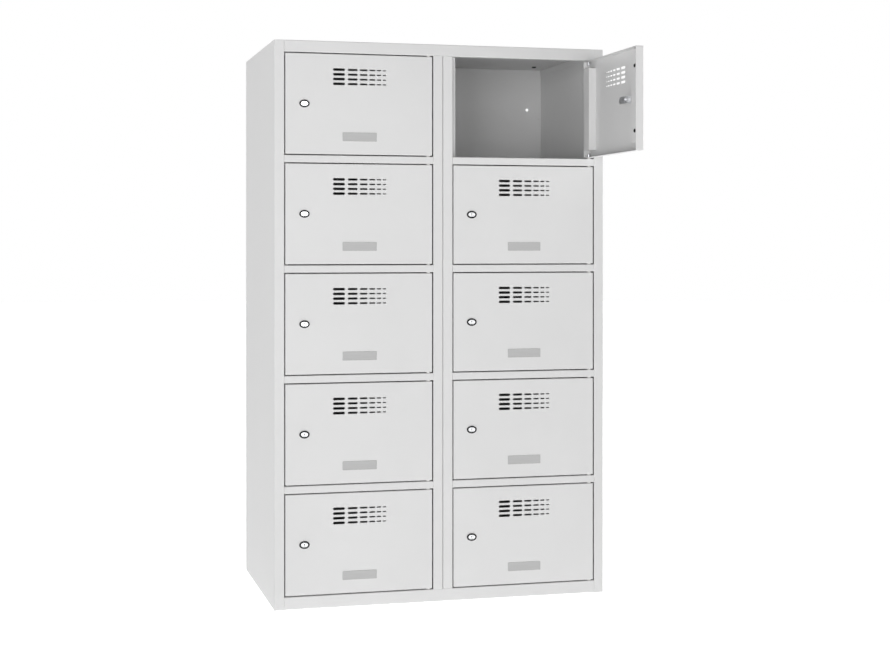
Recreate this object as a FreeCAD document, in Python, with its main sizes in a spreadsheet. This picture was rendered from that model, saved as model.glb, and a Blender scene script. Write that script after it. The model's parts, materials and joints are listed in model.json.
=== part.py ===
"""Parcel locker: a sheet-steel carcass with two columns of five doors.

The carcass stands on the floor at Z = 0, with its origin at the centre of its footprint.
+Z is up, +X is to the right and the doors face -Y. Lengths are in millimetres.

Every size that can be chosen by itself is a cell of the sheet "Sizes". What follows from
those sizes is a formula of the sheet "Layout". The pieces are bound to both.
"""
import FreeCAD, Part
import os
import re

from FreeCAD import Placement, Rotation, Vector

ROWS = 5
COLUMNS = {"left": "-column_centre", "right": "column_centre"}
OPEN_DOOR = ("right", 1)

SIZES = {
    # the whole carcass
    "overall_width": (800, "outside width"),
    "overall_depth": (490, "outside depth, doors flush with the front"),
    "overall_height": (1313, "floor to top"),
    "sheet": (1, "thickness of the steel sheet"),
    "bend": (1.5, "outside radius of a fold"),
    # the front frame
    "stile_width": (23, "upright beside a door"),
    "top_rail": (27, "front rail of the top panel"),
    "base_rail": (29, "front rail of the base panel"),
    "shelf_rail": (17, "front rail of a shelf"),
    "centre_seam": (1, "space between the two centre panels"),
    "rail_space": (1, "space between the flange that a rail turns back and the stop lip"),
    "stop_space": (3, "space between a closed door and the stop lip"),
    "stop_lip": (12, "how far the stop lip stands into the opening"),
    "hem_width": (8, "folded hem on the edge of the hinge-side stile"),
    "rear_flange": (15, "flange around the back"),
    "strip_height": (15, "support strip under an edge of a shelf or of the top"),
    "stringer_width": (30, "cross member under the base deck"),
    # the doors
    "door_gap": (2.5, "gap all round a door"),
    "door_depth": (18, "depth of the folded door pan"),
    "lock_lip": (29, "lip behind the free edge of a door"),
    "lip_notch": (18, "how far that lip stops short of the top and bottom"),
    "stiffener_width": (38, "box section behind the hinge edge of a door"),
    "stiffener_notch": (18, "how far the box section stops short of the top and bottom"),
    "open_angle": (90, "how far the open door stands open, in degrees"),
    # the hinges
    "pivot_space": (1.25, "space between a hinge washer and the stile's hem"),
    "pin_radius": (3, "hinge pin"),
    "pin_reach": (9, "how far a pin stands into the door past its flange"),
    "pin_head_width": (1.5, "rim of a hinge pin's head around its shank"),
    "pin_head_height": (1.5, "head of a hinge pin"),
    "pin_tip": (1, "length of the tapered end of a hinge pin"),
    "running_clearance": (0.05, "space around a shaft that turns in a hole"),
    "washer_width": (1.75, "rim of a hinge washer around the pin"),
    "washer_clearance": (0.1, "space between a hinge washer and the door"),
    # the ventilation slots and the label
    "vent_top_inset": (36, "top edge of the door to the first row of slots"),
    "vent_row_pitch": (11, "row to row"),
    "label_width": (81, "label plate"),
    "label_height": (20.5, "label plate"),
    "label_thickness": (0.8, "label plate"),
    "label_rise": (41, "bottom edge of the door to the middle of the label plate"),
    # the locks
    "nut_space": (3.3, "space between the door's lip and the fixing nut"),
    "rosette_width": (24, "black oval ring on the door"),
    "rosette_height": (18, "black oval ring on the door"),
    "rosette_thickness": (2.2, "black oval ring on the door"),
    "bezel_width": (17, "bright oval face inside the ring"),
    "bezel_rim": (0.75, "bright face above and below the plug"),
    "bezel_thickness": (1.8, "bright oval face inside the ring"),
    "barrel_radius": (8.25, "lock barrel"),
    "nut_width": (3.75, "rim of the fixing nut around the barrel, at its corners"),
    "nut_thickness": (3, "fixing nut"),
    "plug_radius": (5, "plug that the key turns"),
    "plug_front": (1.5, "how far the plug stands in front of the door's face"),
    "key_hole_radius": (1.3, "round top of the keyhole"),
    "key_slit": (1, "width of the keyhole's slit"),
    "key_slit_length": (3.6, "length of the keyhole's slit below the axis"),
    "key_depth": (12, "depth of the keyhole"),
    "cam_hold": (7.7, "how far a locked cam reaches behind the stop lip"),
    "cam_space": (1.5, "space between the stop lip and a locked cam"),
    "cam_width": (16, "cam"),
    "cam_thickness": (2, "cam"),
    "cam_clearance": (0.5, "space between the barrel and the cam"),
    "screw_radius": (3.5, "head of the cam screw"),
    "screw_height": (2.5, "head of the cam screw"),
    "screw_slot": (1.2, "width of the slots of the cam screw"),
    "screw_slot_length": (5, "length of the slots of the cam screw"),
    # the holes in the top panel and the rear panel
    "roof_hole_radius": (6, "plugged hole in the top panel"),
    "roof_hole_side": (48, "side of the column to a hole in the top panel"),
    "roof_hole_end": (89, "front or back to a hole in the top panel"),
    "cover_rim": (1.5, "rim of a hole plug's head around its hole"),
    "cover_height": (1, "head of a hole plug"),
    "cover_stem": (4, "stem of a hole plug"),
    "fixing_radius": (4, "wall fixing hole in the rear panel"),
    "fixing_side": (40.5, "side of the column to a wall fixing hole"),
    "fixing_drop": (108.5, "top to the wall fixing holes"),
}

# Ventilation slots, from the widest column to the narrowest.
VENT_LENGTHS = (28, 23, 18, 14, 10.5, 8)
VENT_HEIGHTS = (6, 5, 4.2, 3.5, 3, 2.5)
VENT_SPACES = (7, 5.5, 4.3, 3.8, 3.8)
VENT_ROWS = 4

LAYOUT = {
    # edges of the carcass
    "front": "-overall_depth / 2",
    "back": "overall_depth / 2",
    "side": "overall_width / 2",
    "inner_back": "back - 2 * sheet",
    "frame_top": "overall_height - top_rail",
    "stile_return": "door_depth + stop_space + sheet",
    "stile_back": "front + stile_return",
    "rail_return": "stile_return - sheet - rail_space",
    "stringer_front": "front + rail_return",
    # one column, from its own centre line
    "column_width": "(overall_width - centre_seam) / 2",
    "column_centre": "(overall_width + centre_seam) / 4",
    "column_half": "column_width / 2",
    "wall_half": "column_half - sheet",
    "opening_half": "column_half - stile_width",
    # the hinges
    "pin_head_radius": "pin_radius + pin_head_width",
    "washer_radius": "pin_radius + washer_width",
    "washer_thickness": "door_gap - washer_clearance",
    "pin_length": "door_gap + sheet + pin_reach",
    "pin_hole": "pin_radius + running_clearance",
    "pivot_depth": "2 * sheet + pivot_space + washer_radius",
    "pivot_inset": "pivot_depth",
    # the doors
    "door_width": "column_width - 2 * stile_width - 2 * door_gap",
    "door_height": f"(frame_top - base_rail - {ROWS - 1} * shelf_rail) / {ROWS} - 2 * door_gap",
    "door_pitch": "door_height + shelf_rail + 2 * door_gap",
    "lowest_door": "base_rail + door_gap",
    "pivot_side": "door_width / 2 - pivot_inset",
    "pivot_front": "front + pivot_depth",
    # one door, from its hinge axis and its bottom edge
    "free_edge": "pivot_inset - door_width",
    "hinge_edge": "pivot_inset",
    "face": "-pivot_depth",
    "face_inside": "face + sheet",
    "pan_back": "door_depth - pivot_depth",
    "door_middle": "pivot_inset - door_width / 2",
    # the lock of one door, from the same axis and edge
    "nut_radius": "barrel_radius + nut_width",
    "lock_inset": "lock_lip + nut_space + nut_radius",
    "lock_side": "free_edge + lock_inset",
    "lock_rise": "door_height / 2",
    "bezel_height": "2 * (plug_radius + bezel_rim)",
    "cam_front": "face + stile_return + cam_space",
    "cam_back": "cam_front + cam_thickness",
    "cam_length": "lock_inset + door_gap - stop_lip + cam_hold",
    "barrel_end": "cam_front - cam_clearance",
    # a hole plug
    "cover_radius": "roof_hole_radius + cover_rim",
}

doc = FreeCAD.newDocument("parcel_locker")
owner = {}


def fill_sheet(name, rows):
    """Write one row per alias: its name, its value or formula, and what it is."""
    page = doc.addObject("Spreadsheet::Sheet", name)
    for row, (alias, value, meaning) in enumerate(rows, 1):
        page.set(f"A{row}", alias)
        page.set(f"B{row}", value)
        page.set(f"C{row}", meaning)
        page.setAlias(f"B{row}", alias)
        owner[alias] = name
    doc.recompute()
    return page


def bind(formula):
    """Put the sheet's name in front of every alias in a formula."""

    def full_name(word):
        alias = word.group()
        return f"{owner[alias]}.{alias}" if alias in owner else alias

    return re.sub(r"[a-z][a-z_0-9]*", full_name, str(formula))


def value(alias):
    """The number that a cell holds now."""
    return float(doc.getObject(owner[alias]).get(alias))


def place(thing, x, y, z):
    """Bind the position of a thing to three formulas."""
    for axis, formula in zip("xyz", (x, y, z)):
        thing.setExpression(f"Placement.Base.{axis}", bind(formula))


def block(name, across, deep, high):
    """A box from its low and high formulas along X, Y and Z."""
    box = doc.addObject("Part::Box", name)
    for side, (low, top) in zip(("Length", "Width", "Height"), (across, deep, high)):
        box.setExpression(side, bind(f"({top}) - ({low})"))
    place(box, across[0], deep[0], high[0])
    return box


def upright_rod(name, radius, x, y, high):
    """A round bar along Z."""
    rod = doc.addObject("Part::Cylinder", name)
    rod.setExpression("Radius", bind(radius))
    rod.setExpression("Height", bind(f"({high[1]}) - ({high[0]})"))
    place(rod, x, y, high[0])
    return rod


def level_rod(name, radius, x, deep, z):
    """A round bar along Y."""
    rod = doc.addObject("Part::Cylinder", name)
    rod.Placement = Placement(Vector(), Rotation(Vector(1, 0, 0), -90))
    rod.setExpression("Radius", bind(radius))
    rod.setExpression("Height", bind(f"({deep[1]}) - ({deep[0]})"))
    place(rod, x, deep[0], z)
    return rod


def level_oval(name, width, height, x, deep, z):
    """An oval disc with its axis along Y."""
    outline = doc.addObject("Part::Ellipse", f"{name}_outline")
    outline.Placement = Placement(Vector(), Rotation(Vector(1, 0, 0), 90))
    outline.setExpression("MajorRadius", bind(f"{width} / 2"))
    outline.setExpression("MinorRadius", bind(f"{height} / 2"))
    place(outline, x, deep[0], z)
    disc = doc.addObject("Part::Extrusion", name)
    disc.Base = outline
    disc.DirMode = "Custom"
    disc.Dir = Vector(0, 1, 0)
    disc.Solid = True
    disc.setExpression("LengthFwd", bind(f"({deep[1]}) - ({deep[0]})"))
    return disc


def fuse(name, shapes):
    """Join shapes into one solid."""
    whole = doc.addObject("Part::MultiFuse", name)
    whole.Shapes = shapes
    whole.Refine = True
    return whole


def cut(name, base, tools):
    """Take one tool, or several tools together, from a base."""
    rest = doc.addObject("Part::Cut", name)
    rest.Base = base
    rest.Tool = tools[0] if len(tools) == 1 else fuse(f"{name}_tools", tools)
    rest.Refine = True
    return rest


def group(name, shapes):
    """Keep shapes together as separate solids."""
    whole = doc.addObject("Part::Compound", name)
    whole.Links = shapes
    return whole


def copy(label, master, x, y, z, turn="0"):
    """Another of a piece that is made many times, moved to its place and turned about Z."""
    other = group(label, [master])
    place(other, x, y, z)
    other.setExpression("Placement.Rotation.Angle", bind(turn))
    return other


def round_front(name, base, plane, direction, radius):
    """Round the edges of a piece that lie in a plane facing -Y and run along a direction."""
    doc.recompute()
    chosen = []
    for number, edge in enumerate(base.Shape.Edges, 1):
        ends = [vertex.Point for vertex in edge.Vertexes]
        in_plane = len(ends) == 2 and all(abs(point.y - plane) < 1e-6 for point in ends)
        if in_plane and abs((ends[1] - ends[0]).normalize().dot(direction)) > 0.999:
            chosen.append((number, radius, radius))
    rounded = doc.addObject("Part::Fillet", name)
    rounded.Base = base
    rounded.Edges = chosen
    return rounded


def add(*formulas):
    """The sum of formulas."""
    return " + ".join(f"({formula})" for formula in formulas)


def span(centre, half):
    """Low and high formulas of a width about a centre."""
    return (f"{centre} - ({half})", f"{centre} + {half}")


ALONG_X = Vector(1, 0, 0)
ALONG_Z = Vector(0, 0, 1)


def wall_top(name, across):
    """The part of a centre panel above the door frame, behind the top rail's return."""
    return block(name, across, ("stile_back", "inner_back"), ("frame_top", "overall_height - sheet"))


def lock_side_stile(label, centre, high):
    """Flange, return and stop lip at the lock side of a column, up the height of the doors."""
    edge = f"{centre} - opening_half"
    doors = ("base_rail", "frame_top")
    return [
        block(f"{label}_flange", (f"{centre} - column_half", edge), ("front", "front + sheet"), high),
        block(f"{label}_return", (f"{edge} - sheet", edge), ("front", "stile_back"), doors),
        block(f"{label}_stop_lip", (f"{edge} - sheet", f"{edge} + stop_lip"),
              ("stile_back - sheet", "stile_back"), doors),
    ]


def hinge_side_stile(label, centre, high):
    """Flange with a hemmed edge at the hinge side of a column."""
    edge = f"{centre} + opening_half"
    return [
        block(f"{label}_flange", (edge, f"{centre} + column_half"), ("front", "front + sheet"), high),
        block(f"{label}_hem", (edge, f"{edge} + hem_width"),
              ("front", "front + 2 * sheet"), ("base_rail", "frame_top")),
    ]


def make_side_panels():
    """The two outer walls, from the floor to the top, each with a strip along its rear edge."""
    full = ("0", "overall_height")
    deep = ("front", "back")
    rear = ("back - sheet", "back")
    left = lock_side_stile("side_panel_left", "-column_centre", full)
    left.append(block("side_panel_left_sheet", ("-side", "-side + sheet"), deep, full))
    left_strip = block("left_rear_strip", ("-side + sheet", "-side + rear_flange"), rear, full)
    right = hinge_side_stile("side_panel_right", "column_centre", full)
    right.append(block("side_panel_right_sheet", ("side - sheet", "side"), deep, full))
    right_strip = block("right_rear_strip", ("side - rear_flange", "side - sheet"), rear, full)
    return [
        group("side_panel_left", [finish_wall("left_wall", left), left_strip]),
        group("side_panel_right", [finish_wall("right_wall", right), right_strip]),
    ]


def make_centre_panels():
    """The inner wall of each column, back to back on the middle line."""
    doors = ("base_rail", "frame_top")
    deep = ("front", "inner_back")
    outer = ("-centre_seam / 2 - sheet", "-centre_seam / 2")
    left = hinge_side_stile("centre_panel_left", "-column_centre", doors)
    left.append(block("centre_panel_left_sheet", outer, deep, doors))
    left.append(wall_top("centre_panel_left_top", outer))
    outer = ("centre_seam / 2", "centre_seam / 2 + sheet")
    right = lock_side_stile("centre_panel_right", "column_centre", doors)
    right.append(block("centre_panel_right_sheet", outer, deep, doors))
    right.append(wall_top("centre_panel_right_top", outer))
    return [
        finish_wall("centre_panel_left", left),
        finish_wall("centre_panel_right", right),
    ]


def finish_wall(label, sheets):
    """Join the folded sheets of a wall and round its two front folds."""
    folded = fuse(f"{label}_folded", sheets)
    return round_front(label, folded, value("front"), ALONG_Z, value("bend"))


def pivot_holes(label, high):
    """One hole per column on the hinge axis, the size of the pins that sit in it."""
    return [
        upright_rod(f"{label}_{column}_pin_hole", "pin_radius", add(centre, "pivot_side"),
                    "pivot_front", high)
        for column, centre in COLUMNS.items()
    ]


def pairs_of_holes(side):
    """Name and X of two holes per column, each at a distance from the column's side."""
    return [
        (f"{column}_{hand}", f"{centre} {sign} (column_half - {side})")
        for column, centre in COLUMNS.items()
        for hand, sign in (("left", "-"), ("right", "+"))
    ]


def roof_hole_places():
    """Name, X and Y of each hole in the top panel."""
    ends = {"front": "front + roof_hole_end", "rear": "back - roof_hole_end"}
    return [
        (f"{name}_{end}", x, y)
        for name, x in pairs_of_holes("roof_hole_side")
        for end, y in ends.items()
    ]


def make_top_panel():
    """The top with its front rail, and the strips under its sides and behind its rear edge."""
    inner = ("-side + sheet", "side - sheet")
    between_stiles = ("-side + stile_width", "side - stile_width")
    low = "overall_height - strip_height"
    sheets = [
        block("top_deck", inner, ("front + sheet", "back - sheet"),
              ("overall_height - sheet", "overall_height")),
        block("top_front_rail", between_stiles, ("front", "front + sheet"),
              ("frame_top", "overall_height")),
        block("top_rail_return", between_stiles, ("front", "front + rail_return"),
              ("frame_top", "frame_top + sheet")),
    ]
    strips = [
        block("top_left_strip", ("-side + sheet", "-side + 2 * sheet"), ("stile_back", "inner_back"),
              (low, "overall_height - sheet")),
        block("top_right_strip", ("side - 2 * sheet", "side - sheet"), ("stile_back", "inner_back"),
              (low, "overall_height - sheet")),
        block("top_rear_strip", ("-side + rear_flange", "side - rear_flange"),
              ("back - sheet", "back"), (low, "overall_height")),
    ]
    folded = fuse("top_panel_folded", sheets)
    rounded = round_front("top_panel_rounded", folded, value("front"), ALONG_X, value("bend"))
    holes = pivot_holes("top", ("frame_top", "frame_top + sheet"))
    for name, x, y in roof_hole_places():
        holes.append(upright_rod(f"roof_hole_{name}", "roof_hole_radius", x, y,
                                 ("overall_height - sheet", "overall_height")))
    return [group("top_panel", [cut("top_folded_sheet", rounded, holes)] + strips)]


def make_base_panel():
    """The base deck with its front rail and the flanges that stand on the floor."""
    inner = ("-side + sheet", "side - sheet")
    between_stiles = ("-side + stile_width", "side - stile_width")
    deck = ("base_rail - sheet", "base_rail")
    skirt = ("0", "base_rail")
    sheets = [
        block("base_deck", inner, ("front + sheet", "back - sheet"), deck),
        block("base_front_rail", between_stiles, ("front", "front + sheet"), skirt),
        block("base_rail_return", between_stiles, ("front", "front + rail_return"), ("0", "sheet")),
        block("base_left_flange", ("-side + sheet", "-side + 2 * sheet"),
              ("stile_back", "inner_back"), skirt),
        block("base_right_flange", ("side - 2 * sheet", "side - sheet"),
              ("stile_back", "inner_back"), skirt),
        block("base_rear_flange", ("-side + rear_flange", "side - rear_flange"),
              ("back - sheet", "back"), skirt),
    ]
    folded = fuse("base_panel_folded", sheets)
    rounded = round_front("base_panel_rounded", folded, value("front"), ALONG_X, value("bend"))
    return [cut("base_panel", rounded, pivot_holes("base", deck))]


def make_base_stringer():
    """An open channel under the base deck that carries the centre panels to the floor."""
    deep = ("stringer_front", "inner_back")
    inner_half = "stringer_width / 2 - sheet"
    channel = block("stringer_outside", span("0", "stringer_width / 2"), deep,
                    ("0", "base_rail - sheet"))
    hollow = block("stringer_hollow", span("0", inner_half), deep, ("sheet", "base_rail - sheet"))
    return [cut("base_stringer", channel, [hollow])]


def make_rear_panel():
    """The back wall, with two wall fixing holes behind each top compartment."""
    panel = block("rear_sheet", ("-side + sheet", "side - sheet"), ("inner_back", "back - sheet"),
                  ("base_rail", "overall_height - sheet"))
    holes = [
        level_rod(f"fixing_hole_{name}", "fixing_radius", x, ("inner_back", "back - sheet"),
                  "overall_height - fixing_drop")
        for name, x in pairs_of_holes("fixing_side")
    ]
    return [cut("rear_panel", panel, holes)]


def make_shelf_master():
    """One shelf on its three support strips, about the centre line of its column.

    The top face of the shelf is at Z = 0.
    """
    deck = ("-sheet", "0")
    rail = span("0", "opening_half")
    strip_high = ("-strip_height", "-sheet")
    strip_deep = ("stile_back", "inner_back - sheet")
    sheets = [
        block("shelf_deck", span("0", "wall_half"), ("front", "inner_back"), deck),
        block("shelf_front_rail", rail, ("front", "front + sheet"), ("-shelf_rail", "0")),
        block("shelf_rail_return", rail, ("front", "front + rail_return"),
              ("-shelf_rail", "sheet - shelf_rail")),
    ]
    strips = [
        block("shelf_left_strip", ("-wall_half", "sheet - wall_half"), strip_deep, strip_high),
        block("shelf_right_strip", ("wall_half - sheet", "wall_half"), strip_deep, strip_high),
        block("shelf_rear_strip", span("0", "wall_half"), ("inner_back - sheet", "inner_back"),
              strip_high),
    ]
    notches = [
        block("notch_for_lock_stile", ("-wall_half", "-opening_half"), ("front", "stile_back"), deck),
        block("notch_for_stop_lip", ("-opening_half", "stop_lip - opening_half"),
              ("stile_back - sheet", "stile_back"), deck),
        block("notch_for_hem", ("opening_half", "wall_half"), ("front", "front + 2 * sheet"), deck),
        upright_rod("shelf_pin_hole", "pin_radius", "pivot_side", "pivot_front",
                    ("-shelf_rail", "0")),
    ]
    folded = cut("shelf_folded", fuse("shelf_sheets", sheets), notches)
    sheet = round_front("shelf_sheet", folded, value("front"), ALONG_X, value("bend"))
    return group("shelf_master", [sheet] + strips)


def make_shelves():
    """Four shelves in each column, counted from the top."""
    master = make_shelf_master()
    return [
        copy(f"shelf_{column}_{number}", master, centre, "0",
             f"base_rail + {ROWS - number} * door_pitch")
        for column, centre in COLUMNS.items()
        for number in range(1, ROWS)
    ]


def make_pin_master():
    """One hinge pin with its shank up from Z = 0, which is the outside of the rail's sheet."""
    shank = upright_rod("pin_shank", "pin_radius", "0", "0", ("-sheet", "pin_length - pin_tip"))
    head = upright_rod("pin_head", "pin_head_radius", "0", "0", ("-sheet - pin_head_height", "-sheet"))
    tip = doc.addObject("Part::Cone", "pin_tip")
    tip.setExpression("Radius1", bind("pin_radius"))
    tip.setExpression("Radius2", bind("pin_radius / 2"))
    tip.setExpression("Height", bind("pin_tip"))
    place(tip, "0", "0", "pin_length - pin_tip")
    return fuse("pin_master", [shank, head, tip])


def make_washer_master():
    """One hinge washer that lies on Z = 0."""
    high = ("0", "washer_thickness")
    ring = upright_rod("washer_outside", "washer_radius", "0", "0", high)
    return cut("washer_master", ring, [upright_rod("washer_hole", "pin_hole", "0", "0", high)])


def make_hinges():
    """Two pins and two washers per door, all of each kind in one group."""
    masters = {"hinge_pins": make_pin_master(), "hinge_washers": make_washer_master()}
    groups = {name: [] for name in masters}
    for column, centre in COLUMNS.items():
        x = add(centre, "pivot_side")
        for row in range(1, ROWS + 1):
            low = f"base_rail + {ROWS - row} * door_pitch"
            high = f"{low} + door_height + 2 * door_gap"
            for name, master in masters.items():
                label = f"{name}_{column}_{row}"
                groups[name].append(copy(f"{label}_low", master, x, "pivot_front", low))
                upper = group(f"{label}_high", [master])
                upper.Placement = Placement(Vector(), Rotation(ALONG_X, 180))
                place(upper, x, "pivot_front", high)
                groups[name].append(upper)
    return [group(name, copies) for name, copies in groups.items()]


def make_hole_plugs():
    """Push-in covers for the holes in the top panel."""
    stem = upright_rod("cover_stem_rod", "roof_hole_radius", "0", "0", ("-cover_stem", "0"))
    head = upright_rod("cover_head", "cover_radius", "0", "0", ("0", "cover_height"))
    master = fuse("cover_master", [stem, head])
    covers = [
        copy(f"cover_{name}", master, x, y, "overall_height") for name, x, y in roof_hole_places()
    ]
    return [group("hole_plugs", covers)]


def vent_slot(name, length, height, x, z):
    """A round-ended slot through the door's face; x and z are its middle."""
    deep = ("face", "face_inside")
    half = (length - height) / 2
    middle = block(f"{name}_middle", (f"{x} - {half}", f"{x} + {half}"), deep,
                   (f"{z} - {height / 2}", f"{z} + {height / 2}"))
    ends = [
        level_rod(f"{name}_end_{side}", f"{height / 2}", f"{x} {sign} {half}", deep, z)
        for side, sign in (("a", "-"), ("b", "+"))
    ]
    return fuse(name, [middle] + ends)


def make_vent_slots():
    """The rows of slots, which shrink from the free edge towards the hinges."""
    total = sum(VENT_LENGTHS) + sum(VENT_SPACES)
    row = []
    start = -total / 2
    for number, (length, height) in enumerate(zip(VENT_LENGTHS, VENT_HEIGHTS)):
        x = f"door_middle + {start + length / 2}"
        row.append(vent_slot(f"vent_{number + 1}", length, height, x, "0"))
        start += length + (VENT_SPACES + (0,))[number]
    slots = group("vent_row", row)
    return [
        copy(f"vent_row_{number + 1}", slots, "0", "0",
             f"door_height - vent_top_inset - {number} * vent_row_pitch")
        for number in range(VENT_ROWS)
    ]


def pan_block(name, inset, face, back, radius):
    """A block the size of the door, drawn in by an inset, with its front edges rounded."""
    plain = block(f"{name}_plain", (f"free_edge + {inset}", f"hinge_edge - {inset}"), (face, back),
                  (inset, f"door_height - {inset}"))
    doc.recompute()
    plane = plain.Placement.Base.y
    edges = [round_front(f"{name}_level", plain, plane, ALONG_X, radius)]
    edges.append(round_front(name, edges[0], plane, ALONG_Z, radius))
    return edges[1]


def make_door_master():
    """One door pan about its hinge axis, with its bottom edge at Z = 0."""
    outside = pan_block("door_outside", "0", "face", "pan_back", value("bend"))
    inside = pan_block("door_inside", "sheet", "face_inside", "pan_back",
                       value("bend") - value("sheet"))
    pan = cut("door_pan", outside, [inside])
    back = ("pan_back - sheet", "pan_back")
    box_edge = "hinge_edge - stiffener_width"
    box_high = ("stiffener_notch", "door_height - stiffener_notch")
    folds = [
        block("door_lock_lip", ("free_edge", "free_edge + lock_lip"), back,
              ("lip_notch", "door_height - lip_notch")),
        block("door_box_lip", (box_edge, "hinge_edge"), back, box_high),
        block("door_box_web", (box_edge, f"{box_edge} + sheet"), ("face_inside", "pan_back"), box_high),
    ]
    holes = make_vent_slots()
    holes.append(level_rod("door_lock_hole", "barrel_radius", "lock_side", ("face", "face_inside"),
                           "lock_rise"))
    holes.append(upright_rod("door_pin_hole", "pin_hole", "0", "0", ("0", "door_height")))
    return cut("door_master", fuse("door_folded", [pan] + folds), holes)


def make_label_master():
    """The label plate on the door's face."""
    return block("label_master", span("door_middle", "label_width / 2"),
                 ("face - label_thickness", "face"), span("label_rise", "label_height / 2"))


def make_lock_body_master():
    """The fixed pieces of a lock: ring, barrel with its bright face, and nut."""
    ring_deep = ("face - rosette_thickness", "face")
    ring = cut("lock_ring", level_oval("ring_outside", "rosette_width", "rosette_height", "lock_side",
                                       ring_deep, "lock_rise"),
               [level_oval("ring_inside", "bezel_width", "bezel_height", "lock_side", ring_deep,
                           "lock_rise")])
    bezel = level_oval("lock_bezel", "bezel_width", "bezel_height", "lock_side",
                       ("face - bezel_thickness", "face"), "lock_rise")
    body = level_rod("lock_barrel_rod", "barrel_radius", "lock_side", ("face", "barrel_end"),
                     "lock_rise")
    bore = level_rod("lock_bore", "plug_radius + running_clearance", "lock_side",
                     ("face - bezel_thickness", "barrel_end"), "lock_rise")
    barrel = cut("lock_barrel", fuse("lock_barrel_outside", [bezel, body]), [bore])
    blank = doc.addObject("Part::Prism", "nut_blank")
    blank.Polygon = 6
    blank.Placement = Placement(Vector(), Rotation(Vector(1, 0, 0), -90))
    blank.setExpression("Circumradius", bind("nut_radius"))
    blank.setExpression("Height", bind("nut_thickness"))
    place(blank, "lock_side", "face_inside", "lock_rise")
    nut_deep = ("face_inside", "face_inside + nut_thickness")
    nut = cut("lock_nut", blank, [level_rod("nut_hole", "barrel_radius", "lock_side", nut_deep,
                                            "lock_rise")])
    return group("lock_body_master", [ring, barrel, nut])


def make_lock_plug():
    """The plug that the key turns, with its keyhole."""
    deep = ("face - plug_front", "cam_front")
    key_deep = (deep[0], "face - plug_front + key_depth")
    rod = level_rod("plug_rod", "plug_radius", "lock_side", deep, "lock_rise")
    key_hole = level_rod("key_hole", "key_hole_radius", "lock_side", key_deep,
                         "lock_rise + key_hole_radius")
    key_slit = block("key_slot", span("lock_side", "key_slit / 2"), key_deep,
                     ("lock_rise - key_slit_length", "lock_rise + key_hole_radius"))
    return cut("lock_plug", rod, [key_hole, key_slit])


def make_lock_cam():
    """The cam, which points away from the free edge when the lock is open."""
    deep = ("cam_front", "cam_back")
    half = "cam_width / 2"
    tip = "lock_side + cam_length - cam_width / 2"
    return fuse("lock_cam_plate", [
        block("cam_bar", ("lock_side", tip), deep, span("lock_rise", half)),
        level_rod("cam_tip", half, tip, deep, "lock_rise"),
        level_rod("cam_hub", half, "lock_side", deep, "lock_rise"),
    ])


def make_cam_screw():
    """The head of the screw that holds the cam on the plug."""
    deep = ("cam_back", "cam_back + screw_height")
    slot_deep = ("cam_back + screw_height / 2", "cam_back + screw_height")
    reach = "screw_slot_length / 2"
    head = level_rod("screw_head", "screw_radius", "lock_side", deep, "lock_rise")
    slots = [
        block("screw_slot_level", span("lock_side", reach), slot_deep,
              span("lock_rise", "screw_slot / 2")),
        block("screw_slot_upright", span("lock_side", "screw_slot / 2"), slot_deep,
              span("lock_rise", reach)),
    ]
    return cut("cam_screw", head, slots)


def make_doors():
    """Ten doors, each with its label plate, the fixed pieces of its lock and its turning pieces."""
    masters = {
        "door": make_door_master(),
        "label_plate": make_label_master(),
        "lock_body": make_lock_body_master(),
        "lock_cam": group("lock_cam_master", [make_lock_plug(), make_lock_cam(), make_cam_screw()]),
    }
    pieces = []
    for column, centre in COLUMNS.items():
        for row in range(1, ROWS + 1):
            turn = "open_angle" if (column, row) == OPEN_DOOR else "0"
            low = f"lowest_door + {ROWS - row} * door_pitch"
            for name, master in masters.items():
                pieces.append(copy(f"{name}_{column}_{row}", master, add(centre, "pivot_side"),
                                   "pivot_front", low, turn))
    return pieces


def check_and_export(pieces):
    """Stop if anything failed to build; otherwise write one file per piece."""
    doc.recompute()
    for thing in doc.Objects:
        faults = {"Invalid", "Error"} & set(thing.State)
        if faults:
            raise RuntimeError(f"{thing.Name} is {faults}")
    for piece in pieces:
        if piece.Shape.isNull() or not piece.Shape.isValid() or not piece.Shape.Solids:
            raise RuntimeError(f"{piece.Label} has no valid solid")
    os.makedirs("parts", exist_ok=True)
    for piece in pieces:
        piece.Shape.exportStep(f"parts/{piece.Label}.step")
    print(f"{len(pieces)} pieces, {sum(len(piece.Shape.Solids) for piece in pieces)} solids")


fill_sheet("Sizes", [(alias, str(number), meaning) for alias, (number, meaning) in SIZES.items()])
for alias in LAYOUT:
    owner[alias] = "Layout"
fill_sheet("Layout", [(alias, f"={bind(formula)}", "") for alias, formula in LAYOUT.items()])

check_and_export(
    make_side_panels() + make_centre_panels() + make_top_panel() + make_base_panel()
    + make_base_stringer() + make_rear_panel() + make_shelves() + make_hinges()
    + make_hole_plugs() + make_doors()
)
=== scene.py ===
"""Parcel locker: finishes, locks, labels, bumpers and hole plugs around the fixed steel frame.

The locker stands on the floor at Z = 0, +X is to its right and its doors face -Y. Lengths are in
metres. Every piece is placed from the frame: the boxes of its nodes and the axes of its joints.
"""

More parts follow.
